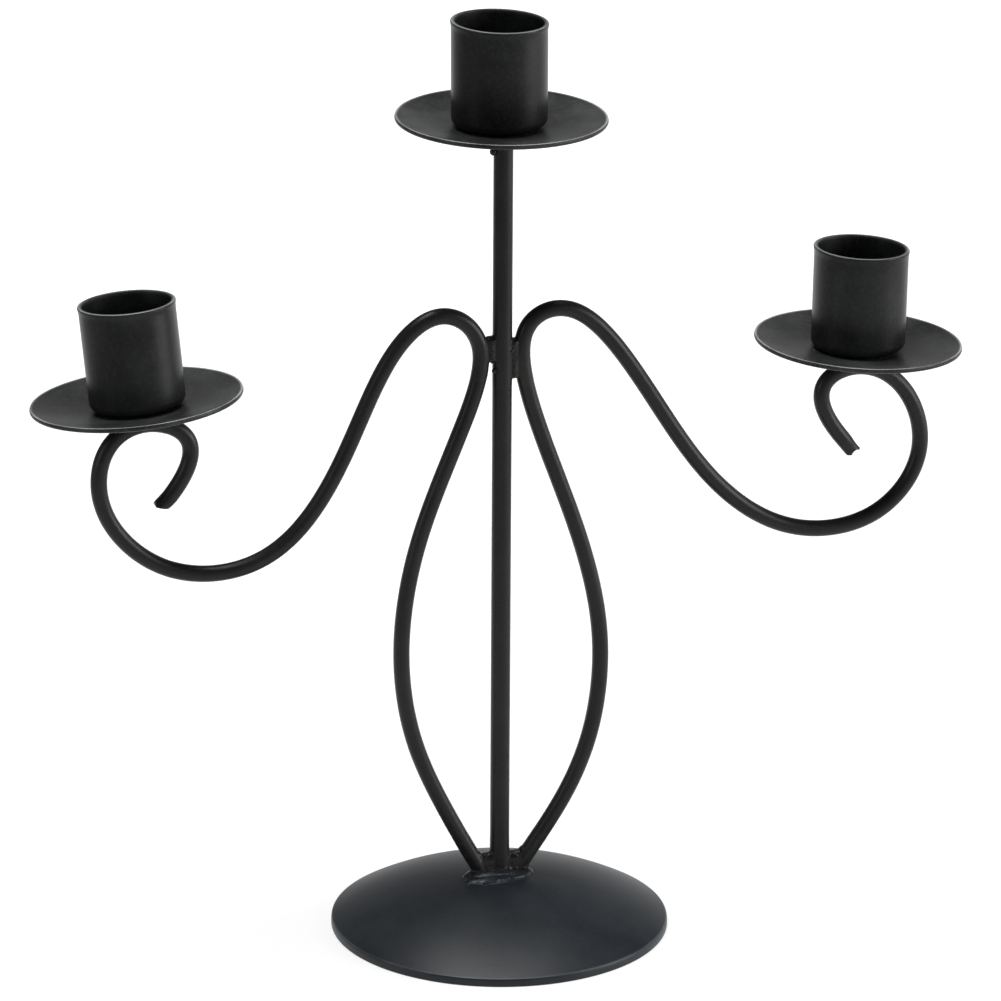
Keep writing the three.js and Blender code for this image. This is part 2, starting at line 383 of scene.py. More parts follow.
@dataclass
class Profile:
    """A path of radius and height that is turned round an axis, with how much each point is
    lightened for thin coat and painted highlight.
    """

    points: list[tuple[float, float, float]] = field(default_factory=list)

    def to(self, radius: float, height: float, steps: int = 1, edge: float = 0.0) -> "Profile":
        """Goes straight to a point.

        Args:
            radius: the point's distance from the axis.
            height: its height.
            steps: how many pieces the line is cut into.
            edge: how much the new points are lightened, for thin coat and painted highlight, from 0
                to 1.

        Returns:
            The profile itself.
        """
        if not self.points:
            self.points.append((radius, height, edge))
            return self
        from_radius, from_height, _ = self.points[-1]
        for step in range(1, steps + 1):
            share = step / steps
            self.points.append((
                from_radius + (radius - from_radius) * share,
                from_height + (height - from_height) * share, edge,
            ))
        return self

    def arc(
        self, centre: tuple[float, float], radius: float, start: float, end: float,
        steps: int, edge: float = 0.0,
    ) -> "Profile":
        """Goes round an arc, with a first point at its start.

        Args:
            centre: the arc's centre as radius and height.
            radius: the arc's own radius.
            start: the first angle in degrees, 0 pointing outwards and 90 up.
            end: the last angle in degrees.
            steps: how many pieces the arc is cut into.
            edge: how much the arc is lightened, for thin coat and painted highlight.

        Returns:
            The profile itself.
        """
        for step in range(steps + 1):
            angle = math.radians(start + (end - start) * step / steps)
            self.points.append((
                centre[0] + radius * math.cos(angle), centre[1] + radius * math.sin(angle), edge,
            ))
        return self

    def bend(
        self, middle: tuple[float, float], end: tuple[float, float], steps: int, edge: float = 0.0,
    ) -> "Profile":
        """Goes round a soft corner.

        Args:
            middle: the corner itself, which the path rounds off.
            end: where the corner ends.
            steps: how many pieces the corner is cut into.
            edge: how much it is lightened, for thin coat and painted highlight.

        Returns:
            The profile itself.
        """
        start = self.points[-1]
        for step in range(1, steps + 1):
            share = step / steps
            keep, pull = (1 - share) ** 2, 2 * share * (1 - share)
            self.points.append((
                keep * start[0] + pull * middle[0] + share**2 * end[0],
                keep * start[1] + pull * middle[1] + share**2 * end[1], edge,
            ))
        return self

    def centred(self) -> "Profile":
        """Puts the first and last points on the axis itself."""
        for end in (0, -1):
            self.points[end] = (0.0, *self.points[end][1:])
        return self

    def wear_and_highlight_end(self, count: int, edge: float) -> "Profile":
        """Says how much the last points of the path are lightened, for thin coat and painted
        highlight.
        """
        self.points[-count:] = [(out, up, edge) for out, up, _ in self.points[-count:]]
        return self

    def turned(self, segments: int) -> tuple[np.ndarray, list[tuple[int, ...]], np.ndarray]:
        """Turns the path round the axis, closing it with one point where it meets the axis.

        Args:
            segments: how many sides the turned shape has.

        Returns:
            The points in millimetres, the faces and each point's edge share.
        """
        angles = np.linspace(0, 2 * math.pi, segments, endpoint=False)
        ring = np.stack([np.cos(angles), np.sin(angles)], axis=1)
        spots: list[np.ndarray] = []
        shares: list[float] = []
        rows: list[list[int]] = []
        last: tuple[float, float] | None = None
        for radius, height, edge in self.points:
            if last and math.dist(last, (radius, height)) < 1e-5:
                continue
            last = (radius, height)
            count = 1 if radius < 1e-6 else segments
            first = len(spots)
            for index in range(count):
                x, y = (0.0, 0.0) if count == 1 else ring[index] * radius
                spots.append(np.array([x, y, height]))
                shares.append(edge)
            rows.append([first] if count == 1 else list(range(first, first + count)))
        faces: list[tuple[int, ...]] = []
        for low, high in zip(rows, rows[1:]):
            for index in range(segments):
                after = (index + 1) % segments
                if len(low) == 1:
                    faces.append((low[0], high[after], high[index]))
                elif len(high) == 1:
                    faces.append((low[index], low[after], high[0]))
                else:
                    faces.append((low[index], low[after], high[after], high[index]))
        points = np.array(spots)
        return points, facing_out(points, faces), np.array(shares)


def facing_out(points: np.ndarray, faces: list[tuple[int, ...]]) -> list[tuple[int, ...]]:
    """Turns the faces of a closed skin outwards if they point in.

    Args:
        points: the skin's points.
        faces: its faces, all turned the same way.

    Returns:
        The faces, pointing outwards.
    """
    volume = 0.0
    for face in faces:
        for second, third in zip(face[1:], face[2:]):
            volume += float(points[face[0]] @ np.cross(points[second], points[third]))
    return faces if volume > 0 else [tuple(reversed(face)) for face in faces]


def mesh_from(
    name: str, points: np.ndarray, faces: Sequence[Sequence[int]], edge: np.ndarray | None = None,
) -> bpy.types.Mesh:
    """Makes a mesh from points and faces, with the edge share of each point if there is one.

    Args:
        name: the mesh's name.
        points: its points.
        faces: its faces.
        edge: how much each point is lightened, for thin coat and painted highlight.

    Returns:
        The mesh.
    """
    mesh = bpy.data.meshes.new(name)
    mesh.from_pydata(points.tolist(), [], [list(face) for face in faces])
    if edge is not None:
        add_shares(mesh, "edge", edge)
    mesh.update()
    return mesh


def in_metres(points: np.ndarray, place: Matrix | None = None) -> np.ndarray:
    """Scales points from millimetres and puts them in a place.

    Args:
        points: the points in millimetres.
        place: where the shape's own origin and axes go, in metres.

    Returns:
        The points in metres.
    """
    scaled = points * MM
    if place is None:
        return scaled
    matrix = np.array(place)
    return scaled @ matrix[:3, :3].T + matrix[:3, 3]


def frame_along(origin: Vector, axis: Vector) -> Matrix:
    """A frame with its Z along an axis and its X as near to the world's X as that allows.

    Args:
        origin: the frame's origin in metres.
        axis: the direction of its Z.

    Returns:
        The frame as a matrix.
    """
    up = axis.normalized()
    across = (Vector((1, 0, 0)) - up * up.x).normalized()
    turn = Matrix((across, up.cross(across), up)).transposed()
    return Matrix.Translation(origin) @ turn.to_4x4()


def disc_frame(node: str, thickness: float) -> Matrix:
    """Finds the upper face's centre and the axis of a dished CAD disc from its own points.

    Args:
        node: the CAD node's name.
        thickness: the sheet's thickness in millimetres.

    Returns:
        The disc's frame.
    """
    points = np.unique(points_of(frame["nodes"][node].data).round(6), axis=0)
    middle = points.mean(axis=0)
    _, _, directions = np.linalg.svd(points - middle)
    axis = directions[2] * np.sign(directions[2][2])
    lowest = ((points - middle) @ axis).min()
    origin = middle + axis * (lowest + thickness * MM)
    return frame_along(Vector(origin), Vector(axis))


# ------------------------------------------------------------------------------ node recipes
class Input(Enum):
    """The kinds of named input that a geometry recipe may have."""

    LENGTH = "NodeSocketFloat"
    COUNT = "NodeSocketInt"
    MATERIAL = "NodeSocketMaterial"


class GeometryRecipe(NodeGraph):
    """A geometry node tree with named inputs that works on a host's own geometry."""

    def __init__(self, name: str, sizes: Mapping[str, tuple[Input, float | None]]) -> None:
        """Makes the tree and its inputs.

        Args:
            name: the tree's name.
            sizes: each input's kind and starting value.
        """
        tree = bpy.data.node_groups.new(name, "GeometryNodeTree")
        super().__init__(tree)
        for way in ("INPUT", "OUTPUT"):
            tree.interface.new_socket("Geometry", in_out=way, socket_type="NodeSocketGeometry")
        for label, (kind, value) in sizes.items():
            item = tree.interface.new_socket(label, in_out="INPUT", socket_type=kind.value)
            if value is not None:
                item.default_value = value
        self.source = self.node("NodeGroupInput")

    def given(self, name: str) -> Signal:
        """One of the tree's own inputs."""
        return Signal(self, self.source.outputs[name])

    def close(self, geometry: Signal) -> None:
        """Ends the tree in Realize Instances and Set Material.

        Args:
            geometry: the shape that the tree gives.
        """
        real = self.signal("GeometryNodeRealizeInstances", {}, {"Geometry": geometry})
        coated = self.signal(
            "GeometryNodeSetMaterial", {}, {"Geometry": real, "Material": self.given("Material")},
        )
        self.node("NodeGroupOutput", {}, {"Geometry": coated})

    def mesh(self, host: bpy.types.Object, values: Mapping[str, Any]) -> bpy.types.Mesh:
        """Runs the tree on a host and gives a plain mesh, deleting the host.

        Args:
            host: the object whose geometry the tree starts from.
            values: the inputs that differ from their starting values.

        Returns:
            The mesh.
        """
        modifier = host.modifiers.new(self.tree.name, "NODES")
        modifier.node_group = self.tree
        for item in self.tree.interface.items_tree:
            if item.in_out == "INPUT" and item.name in values:
                modifier[item.identifier] = values[item.name]
        return plain_mesh(host)


class RodSweep(GeometryRecipe):
    """Sweeps a round section along a curve, with the faint unevenness of a coated wire."""

    def __init__(self) -> None:
        """Builds the tree."""
        super().__init__("rod_sweep", {
            "Radius": (Input.LENGTH, 0.00215), "Sides": (Input.COUNT, 40),
            "Step": (Input.LENGTH, 0.0007), "Unevenness": (Input.LENGTH, 0.00004),
            "Unevenness Size": (Input.LENGTH, 0.007), "Material": (Input.MATERIAL, None),
        })
        path = self.signal("GeometryNodeResampleCurve", {"mode": "LENGTH"}, {
            "Curve": self.given("Geometry"), "Length": self.given("Step"),
        })
        ring = self.signal("GeometryNodeCurvePrimitiveCircle", {"mode": "RADIUS"}, {
            "Resolution": self.given("Sides"), "Radius": self.given("Radius"),
        })
        skin = self.signal("GeometryNodeCurveToMesh", {}, {
            "Curve": path, "Profile Curve": ring, "Fill Caps": True,
        })
        noise = self.signal("ShaderNodeTexNoise", {"noise_dimensions": "3D"}, {
            "Scale": 1 / self.given("Unevenness Size"), "Detail": 1.0,
        })
        push = self.signal("ShaderNodeVectorMath", {"operation": "SCALE"}, {
            0: self.signal("GeometryNodeInputNormal"),
            "Scale": (noise - 0.75) * self.given("Unevenness"),
        })
        uneven = self.signal("GeometryNodeSetPosition", {}, {"Geometry": skin, "Offset": push})
        self.close(self.signal("GeometryNodeSetShadeSmooth", {}, {"Geometry": uneven}))


class BeadTrail(GeometryRecipe):
    """Drops overlapping round beads along a curve, as a welding wire does."""

    def __init__(self) -> None:
        """Builds the tree."""
        super().__init__("bead_trail", {
            "Spacing": (Input.LENGTH, 0.5), "Bead Radius": (Input.LENGTH, 0.5),
            "Size Swing": (Input.LENGTH, 0.2), "Scatter": (Input.LENGTH, 0.1),
            "Seed": (Input.COUNT, 1), "Material": (Input.MATERIAL, None),
        })
        seed = self.given("Seed")
        stops = self.signal("GeometryNodeCurveToPoints", {"mode": "LENGTH"}, {
            "Curve": self.given("Geometry"), "Length": self.given("Spacing"),
        })
        wander = self.signal("FunctionNodeRandomValue", {"data_type": "FLOAT_VECTOR"}, {
            0: (-1.0, -1.0, -1.0), 1: (1.0, 1.0, 1.0), "Seed": seed,
        })
        shift = self.signal(
            "ShaderNodeVectorMath", {"operation": "SCALE"},
            {0: wander, "Scale": self.given("Scatter")},
        )
        spots = self.signal("GeometryNodeSetPosition", {}, {"Geometry": stops, "Offset": shift})
        swing = self.signal("FunctionNodeRandomValue", {"data_type": "FLOAT"}, {
            2: -1.0, 3: 1.0, "Seed": seed + 7,
        }, 1)
        size = self.given("Bead Radius") * (1 + swing * self.given("Size Swing"))
        bead = self.signal("GeometryNodeMeshIcoSphere", {}, {"Radius": 1.0, "Subdivisions": 3})
        self.close(self.signal("GeometryNodeInstanceOnPoints", {}, {
            "Points": spots, "Instance": bead, "Scale": size,
        }))


# --------------------------------------------------------------------------------- centrelines
@dataclass(frozen=True)
class Centreline:
    """An arm's centreline: a clamped uniform cubic B-spline in the XZ plane."""

    side: int
    points: Path2

    def at(self, share: float) -> np.ndarray:
        """The point at a share of the spline, in millimetres.

        Args:
            share: from 0 at the foot to 1 at the tip.

        Returns:
            The point.
        """
        spans = len(self.points) - 3
        place = share * spans
        span = min(int(place), spans - 1)
        knots = [0] * 3 + list(range(spans + 1)) + [spans] * 3
        poles = [np.array(self.points[span + index], float) for index in range(4)]
        for level in range(1, 4):
            for index in range(3, level - 1, -1):
                low, high = knots[index + span], knots[index + span + 4 - level]
                blend = (place - low) / (high - low)
                poles[index] = (1 - blend) * poles[index - 1] + blend * poles[index]
        out, height = poles[3]
        return np.array([self.side * out, 0.0, height])

    def stretch(self, start: float, end: float, count: int = 40) -> np.ndarray:
        """Points between two shares of the spline, in millimetres.

        Args:
            start: the first share.
            end: the last share.
            count: how many points.

        Returns:
            The points.
        """
        return np.array([self.at(share) for share in np.linspace(start, end, count)])

    def host(self, name: str) -> bpy.types.Object:
        """Makes the same spline as a curve object in metres.

        Args:
            name: the object's name.

        Returns:
            The curve object.
        """
        data = bpy.data.curves.new(name, "CURVE")
        data.dimensions = "3D"
        spline = data.splines.new("NURBS")
        spline.points.add(len(self.points) - 1)
        for pole, (out, height) in zip(spline.points, self.points):
            pole.co = (self.side * out * MM, 0.0, height * MM, 1.0)
        spline.order_u = 4
        spline.use_endpoint_u = True
        spline.resolution_u = 32
        return linked(name, data)


def straight_host(name: str, points: Sequence[Point], scale: float = 1.0) -> bpy.types.Object:
    """Makes a curve object of straight pieces through some points.

    Args:
        name: the object's name.
        points: the points.
        scale: what they are multiplied by.

    Returns:
        The curve object.
    """
    data = bpy.data.curves.new(name, "CURVE")
    data.dimensions = "3D"
    spline = data.splines.new("POLY")
    spline.points.add(len(points) - 1)
    for pole, point in zip(spline.points, points):
        pole.co = (*(value * scale for value in point), 1.0)
    return linked(name, data)


# --------------------------------------------------------------------------------------- rods
@dataclass(frozen=True)
class TipCut:
    """A flat cut across an arm's tip: its turn from square in degrees and how far back it is."""

    turn: float
    back: float


@dataclass
class Arm:
    """One arm: a single rod from its foot on the dome to the tip of its scroll."""

    name: str
    line: Centreline
    cuts: Sequence[TipCut]
    pinch: float = 1.0
    shift: float = 0.0
    flatten: float = 1.0
    hollow: float = 0.0
    radius: float = 2.15
    tip_reach: float = 7.0

    def heading(self) -> np.ndarray:
        """The direction in which the rod runs out at its tip."""
        along = self.line.at(1.0) - self.line.at(0.999)
        return along / np.linalg.norm(along)

    def facing(self, cut: TipCut) -> np.ndarray:
        """The direction in which a flat cut across the tip faces."""
        along = self.heading()
        angle = math.atan2(along[2], along[0]) + math.radians(cut.turn)
        return np.array([math.cos(angle), 0.0, math.sin(angle)])

    def press_tip(self, mesh: bpy.types.Mesh) -> None:
        """Presses the rod's last millimetres narrower and to one side, as shears do.

        Args:
            mesh: the rod's mesh, in metres.
        """
        along = self.heading()
        aside = np.array([-along[2], 0.0, along[0]])
        points = points_of(mesh)
        away = points - self.line.at(1.0) * MM
        share = eased(np.clip(1 + (away @ along) / (TIP_SHARE * self.tip_reach * MM), 0, 1))
        share = share * (np.linalg.norm(away, axis=1) < TIP_SPAN * MM)
        push = share * ((self.pinch - 1) * (away @ aside) + self.shift * MM)
        points = points + np.outer(push, aside)
        points[:, 1] *= 1 - share * (1 - self.flatten)
        mesh.vertices.foreach_set("co", points.ravel())

    def cut_tip(self, mesh: bpy.types.Mesh) -> None:
        """Cuts the rod's tip with each flat cut, closes it and merges points that lie close.

        Args:
            mesh: the rod's mesh, in metres.
        """
        end = Vector(self.line.at(1.0) * MM)
        shape = bmesh.new()
        shape.from_mesh(mesh)
        for cut in self.cuts:
            normal = Vector(self.facing(cut))
            near = [v for v in shape.verts if (v.co - end).length < self.tip_reach * MM]
            around = set(near)
            edges = [e for e in shape.edges if e.verts[0] in around and e.verts[1] in around]
            faces = [f for f in shape.faces if all(v in around for v in f.verts)]
            result = bmesh.ops.bisect_plane(
                shape, geom=near + edges + faces, dist=1e-6, plane_co=end - normal * cut.back * MM,
                plane_no=normal, clear_outer=True,
            )
            rim = [e for e in result["geom_cut"] if isinstance(e, bmesh.types.BMEdge)]
            bmesh.ops.holes_fill(shape, edges=rim, sides=0)
        near_end = TIP_SHARE * self.tip_reach * MM
        close = [v for v in shape.verts if (v.co - end).length < near_end]
        bmesh.ops.remove_doubles(shape, verts=close, dist=0.1 * MM)
        bmesh.ops.recalc_face_normals(shape, faces=shape.faces)
        shape.to_mesh(mesh)
        shape.free()

    def hollow_tip(self, mesh: bpy.types.Mesh) -> bpy.types.Mesh:
        """Cuts the shallow hollow that worn shears leave across a tip.

        Args:
            mesh: the rod's mesh, in metres.

        Returns:
            The mesh with its hollow.
        """
        middle = self.line.at(1.0) + self.facing(self.cuts[0]) * (self.hollow - HOLLOW_DEPTH)
        size = self.hollow
        points, faces, _ = Profile().to(0, -4).to(size, -4).to(size, 4).to(0, 4).turned(64)
        turned = np.stack([points[:, 0], points[:, 2], -points[:, 1]], axis=1) + middle
        cutter = linked("tip_shears", mesh_from("tip_shears", turned * MM, faces))
        host = linked("tip_host", mesh)
        cut = host.modifiers.new("hollow", "BOOLEAN")
        cut.object, cut.operation, cut.solver = cutter, "DIFFERENCE", "EXACT"
        made = plain_mesh(host)
        bpy.data.objects.remove(cutter)
        return made

    def build(self, sweep: RodSweep) -> bpy.types.Object:
        """Sweeps the rod, cuts its tip and dresses it.

        Args:
            sweep: the recipe for rods.

        Returns:
            The finished piece.
        """
        mesh = sweep.mesh(self.line.host(self.name), {
            "Radius": self.radius * MM, "Material": ROD_COAT.material(),
        })
        self.press_tip(mesh)
        self.cut_tip(mesh)
        if self.hollow:
            mesh = self.hollow_tip(mesh)
        self.mark_tip(mesh)
        return dressed(f"{self.name}_rod", mesh, ROD_COAT, self.name)

    def mark_tip(self, mesh: bpy.types.Mesh) -> None:
        """Marks where the coat is thin, which is on the tip's sheared faces.

        Args:
            mesh: the rod's mesh, in metres.
        """
        away = points_of(mesh) / MM - self.line.at(1.0)
        cut_here = np.zeros(len(away), bool)
        for cut in self.cuts:
            cut_here |= np.abs(away @ self.facing(cut) + cut.back) < FACE_SLACK
        cut_here &= np.linalg.norm(away, axis=1) < self.tip_reach
        add_shares(mesh, "edge", cut_here.astype(np.float32) * SHEARED_COAT)


@dataclass
class Stem:
    """The straight upright rod."""

    radius: float = 2.55

    def build(self, sweep: RodSweep) -> bpy.types.Object:
        """Sweeps the stem between the heights of its CAD node.

        Args:
            sweep: the recipe for rods.

        Returns:
            The finished piece.
        """
        low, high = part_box("stem")
        host = straight_host("stem", [(0.0, 0.0, low[2] + 0.0001), (0.0, 0.0, high[2])])
        mesh = sweep.mesh(host, {"Radius": self.radius * MM, "Material": ROD_COAT.material()})
        return dressed("stem_rod", mesh, ROD_COAT, "stem")


# ------------------------------------------------------------------------------ pressed pieces
@dataclass
class DomeBase:
    """The pressed dome, open underneath, with a short upright skirt."""

    radius: float = 44.4
    height: float = 14.0
    skirt: float = 1.2
    edge_round: float = 1.0
    sheet: float = 1.2

    def outer(self) -> tuple[float, float, float]:
        """The outer face's arc.

        Returns:
            The height of its centre, its radius and its half angle in degrees.
        """
        rise = self.height - self.skirt - self.edge_round
        half = self.radius - 0.25
        radius = (half**2 + rise**2) / (2 * rise)
        return self.height - radius, radius, math.degrees(math.asin(half / radius))

    def build(self) -> bpy.types.Object:
        """Turns the shell.

        Returns:
            The finished piece.
        """
        centre, radius, angle = self.outer()
        wall = self.radius - self.sheet
        inner_angle = math.degrees(math.asin((wall - 0.9) / (radius - self.sheet)))
        shoulder = (
            radius * math.sin(math.radians(angle)), centre + radius * math.cos(math.radians(angle)),
        )
        profile = Profile().arc((0, centre), radius - self.sheet, 90, 90 - inner_angle, 60)
        profile.to(wall - 0.15, self.skirt + 0.25).to(wall, self.skirt - 0.1).to(wall, 0.25, 3)
        profile.arc((wall + 0.2, 0.2), 0.2, 180, 270, 4)
        profile.to(self.radius - 0.3, 0, 2)
        profile.arc((self.radius - 0.3, 0.3), 0.3, 270, 360, 5)
        profile.to(self.radius, self.skirt - 0.1, 4)
        # The shoulder's last points are lightened as a painted highlight band, besides thin coat.
        profile.bend((self.radius, shoulder[1] - 0.15), shoulder, 8).wear_and_highlight_end(2, 1.0)
        profile.arc((0, centre), radius, 90 - angle, 90, 110)
        points, faces, edge = profile.centred().turned(256)
        return dressed(
            "base_dome_shell", mesh_from("dome", in_metres(points), faces, edge), DOME_COAT,
            "base_dome",
        )


@dataclass
class DripPan:
    """A shallow dished pan with a sheared edge that the coat has rounded."""

    station: str
    radius: float = 27.2
    depth: float = 3.3
    sheet: float = 1.2

    def build(self) -> bpy.types.Object:
        """Turns the pan and puts it where its CAD node is.

        Returns:
            The finished piece.
        """
        arc = (self.radius**2 + self.depth**2) / (2 * self.depth)
        angle = math.degrees(math.asin((self.radius - 0.3) / arc))
        profile = Profile().arc((0, arc), arc + self.sheet, -90, -90 + angle - 0.5, 50)
        low_edge = profile.points[-1]
        high = (arc * math.sin(math.radians(angle)), arc - arc * math.cos(math.radians(angle)))
        rim = (self.radius - 0.02, (low_edge[1] + high[1]) / 2)
        profile.bend((rim[0] - 0.04, low_edge[1] + 0.1), rim, 5)
        # The rim's upper edge is lightened as a painted highlight line, besides thin coat.
        profile.bend((rim[0] - 0.02, high[1] - 0.14), high, 6).wear_and_highlight_end(2, 1.0)
        profile.arc((0, arc), arc, -90 + angle - 0.3, -90, 60)
        points, faces, edge = profile.centred().turned(224)
        place = disc_frame(f"drip_pan_{self.station}", self.sheet)
        mesh = mesh_from("pan", in_metres(points, place), faces, edge)
        return dressed(f"drip_pan_{self.station}_dish", mesh, PAN_COAT, f"drip_pan_{self.station}")


@dataclass
class CandleCup:
    """A drawn cup with a faint lip and a rim that was trimmed at a slope."""

    station: str
    rim_slope: float
    radius: float = 12.3
    lip_radius: float = 12.5
    height: float = 27.2
    wall: float = 1.1
    corner: float = 2.4

    def place(self) -> Matrix:
        """The frame of the cup's underside, from its candle seat in the record."""
        seat = next(
            m for m in frame["record"]["mounts"] if m["name"] == f"candle_seat_{self.station}"
        )
        axis = Vector(seat["axis"])
        return frame_along(Vector(seat["pos_m"]) - axis * self.wall * MM, axis)

    def build(self) -> bpy.types.Object:
        """Turns the cup, trims its rim and stands it on its pan.

        Returns:
            The finished piece.
        """
        inner = self.radius - self.wall
        inner_corner = self.corner - self.wall
        top = self.height
        profile = Profile().to(0, 0).to(self.radius - self.corner, 0, 14)
        profile.arc((self.radius - self.corner, self.corner), self.corner, -90, 0, 14)
        profile.to(self.radius, top - 2.2, 30).to(self.radius + 0.03, top - 1.5, 2)
        profile.to(self.radius + 0.12, top - 0.95, 2).to(self.lip_radius - 0.02, top - 0.6, 2)
        profile.arc((self.lip_radius - 0.35, top - 0.35), 0.35, 0, 45, 4)
        # The lip's top and inner round are lightened as painted highlight, besides thin coat.
        profile.arc((self.lip_radius - 0.35, top - 0.35), 0.35, 55, 90, 3, 1.0)
        profile.arc((inner + 0.5, top - 0.3), 0.3, 90, 180, 7, 0.15)
        profile.to(inner, top - 4.0, 5).to(inner, self.wall + inner_corner, 22)
        profile.arc((inner - inner_corner, self.wall + inner_corner), inner_corner, 0, -90, 8)
        profile.to(0, self.wall, 12)
        points, faces, edge = profile.turned(160)
        share = np.clip((points[:, 2] - self.corner) / (top - self.corner), 0, None)
        points[:, 2] -= math.tan(math.radians(self.rim_slope)) * points[:, 0] * share
        mesh = mesh_from("cup", in_metres(points, self.place()), faces, edge)
        return dressed(
            f"candle_cup_{self.station}_shell", mesh, CUP_COAT, f"candle_cup_{self.station}",
        )


# -------------------------------------------------------------------------------------- welds
class WeldPool:
    """Collects overlapping solids in millimetres and melts them into one closed skin."""

    def __init__(self, name: str, trail: BeadTrail) -> None:
        """Starts an empty pool.

        Args:
            name: the weld's name.
            trail: the recipe for ripples and ridges.
        """
        self.name = name
        self.trail = trail
        self.shape = bmesh.new()
        self.rods: list[tuple[np.ndarray, float]] = []
        self.balls: list[tuple[np.ndarray, float]] = []

    def _take(self, points: np.ndarray, faces: Sequence[Sequence[int]]) -> None:
        """Adds a closed skin to the pool."""
        made = [self.shape.verts.new(point) for point in points.tolist()]
        for face in faces:
            self.shape.faces.new([made[index] for index in face])

    def blob(self, centre: Point, half: Point, lean: float = 0.0) -> "WeldPool":
        """Adds an ellipsoid.

        Args:
            centre: its centre.
            half: its half sizes.
            lean: its turn about Y in degrees, leaning its top towards +X.

        Returns:
            The pool itself.
        """
        points, faces, _ = Profile().arc((0, 0), 1.0, -90, 90, 14).turned(24)
        turn = np.array(Matrix.Rotation(math.radians(lean), 3, "Y"))
        self._take((points * half) @ turn.T + centre, faces)
        return self

    def rod(
        self, points: np.ndarray, radius: float | np.ndarray, sides: int = 96,
    ) -> "WeldPool":
        """Adds a round rod along some points of the XZ plane.

        Args:
            points: the rod's centreline.
            radius: its radius, or one for each point.
            sides: how many sides its section has.

        Returns:
            The pool itself.
        """
        sizes = np.broadcast_to(radius, len(points))
        spots: list[np.ndarray] = []
        for index, point in enumerate(points):
            along = points[min(index + 1, len(points) - 1)] - points[max(index - 1, 0)]
            along = along / np.linalg.norm(along)
            aside = np.cross(along, (0.0, 1.0, 0.0))
            for turn in np.linspace(0, 2 * math.pi, sides, endpoint=False):
                spots.append(point + sizes[index] * (
                    math.cos(turn) * aside + math.sin(turn) * np.array((0.0, 1.0, 0.0))
                ))
        faces: list[tuple[int, ...]] = []
        for row in range(len(points) - 1):
            for side in range(sides):
                after = (side + 1) % sides
                low, high = row * sides, (row + 1) * sides
                faces.append((low + side, low + after, high + after, high + side))
        last = (len(points) - 1) * sides
        faces.append(tuple(reversed(range(sides))))
        faces.append(tuple(range(last, last + sides)))
        skin = np.array(spots)
        self._take(skin, facing_out(skin, faces))
        return self

    def sleeve(self, points: np.ndarray, radius: float) -> "WeldPool":
        """Adds a thin sleeve round a rod, which a weld flows on to and which sinks in at its ends.

        Args:
            points: the rod's centreline.
            radius: the rod's radius.

        Returns:
            The pool itself.
        """
        self.rods.append((points, radius + SLEEVE_LIFT))
        share = np.linspace(0, 1, len(points))
        dip = np.clip(1 - np.minimum(share, 1 - share) / SLEEVE_END, 0, 1)
        return self.rod(points, radius + (SLEEVE_LIFT - SLEEVE_DIP * dip))

    def turned(self, profile: Profile, segments: int = 96) -> "WeldPool":
        """Adds a turned solid."""
        points, faces, _ = profile.turned(segments)
        self._take(points, faces)
        return self

    def beads(
        self, path: Sequence[Point], radius: float, spacing: float, scatter: float, seed: int,
        swing: float = 0.2,
    ) -> "WeldPool":
        """Adds a trail of beads along a path.

        Args:
            path: the trail's points.
            radius: the beads' middle radius.
            spacing: the distance between them.
            scatter: how far each may stray.
            seed: what fixes their strays and sizes.
            swing: how much their sizes differ.

        Returns:
            The pool itself.
        """
        mesh = self.trail.mesh(straight_host(f"{self.name}_trail", path), {
            "Bead Radius": radius, "Spacing": spacing, "Scatter": scatter, "Seed": seed,
            "Size Swing": swing, "Material": WELD_COAT.material(),
        })
        self.shape.from_mesh(mesh)
        bpy.data.meshes.remove(mesh)
        return self

    def clearance(self, spots: np.ndarray) -> np.ndarray:
        """How far points stand out of the rods and the dome under a weld.

        Args:
            spots: the points in millimetres.

        Returns:
            Each point's clearance in millimetres.
        """
        least = np.full(len(spots), 10.0)
        for line, radius in self.rods:
            for start, end in zip(line, line[1:]):
                along = end - start
                share = np.clip(((spots - start) @ along) / (along @ along), 0, 1)
                away = np.linalg.norm(spots - start - np.outer(share, along), axis=1)
                least = np.minimum(least, away - radius)
        for centre, radius in self.balls:
            least = np.minimum(least, np.linalg.norm(spots - centre, axis=1) - radius)
        return least

    def melt(
        self, voxel: float, rounds: int, *nodes: str, coat: PowderCoat = WELD_COAT,
    ) -> bpy.types.Object:
        """Melts the pool into one skin, in metres, and dresses it.

        Args:
            voxel: the size of its finest detail in millimetres.
            rounds: how often the skin is smoothed.
            *nodes: the CAD nodes that the weld stands for.
            coat: its finish, which is the bare rod's where nothing is fused.

        Returns:
            The finished piece.
        """
        raw = bpy.data.meshes.new(self.name)
        self.shape.to_mesh(raw)
        self.shape.free()
        host = linked(f"{self.name}_raw", raw)
        remesh = host.modifiers.new("melt", "REMESH")
        remesh.mode, remesh.voxel_size = "VOXEL", voxel
        smooth = host.modifiers.new("flow", "SMOOTH")
        smooth.factor, smooth.iterations = 0.5, rounds
        mesh = plain_mesh(host)
        share = np.clip((self.clearance(points_of(mesh)) - FUSED_FROM) / FUSED_OVER, 0, 1)
        add_shares(mesh, "fused", eased(share))
        mesh.transform(Matrix.Scale(MM, 4))
        return dressed(self.name, mesh, coat, *nodes)


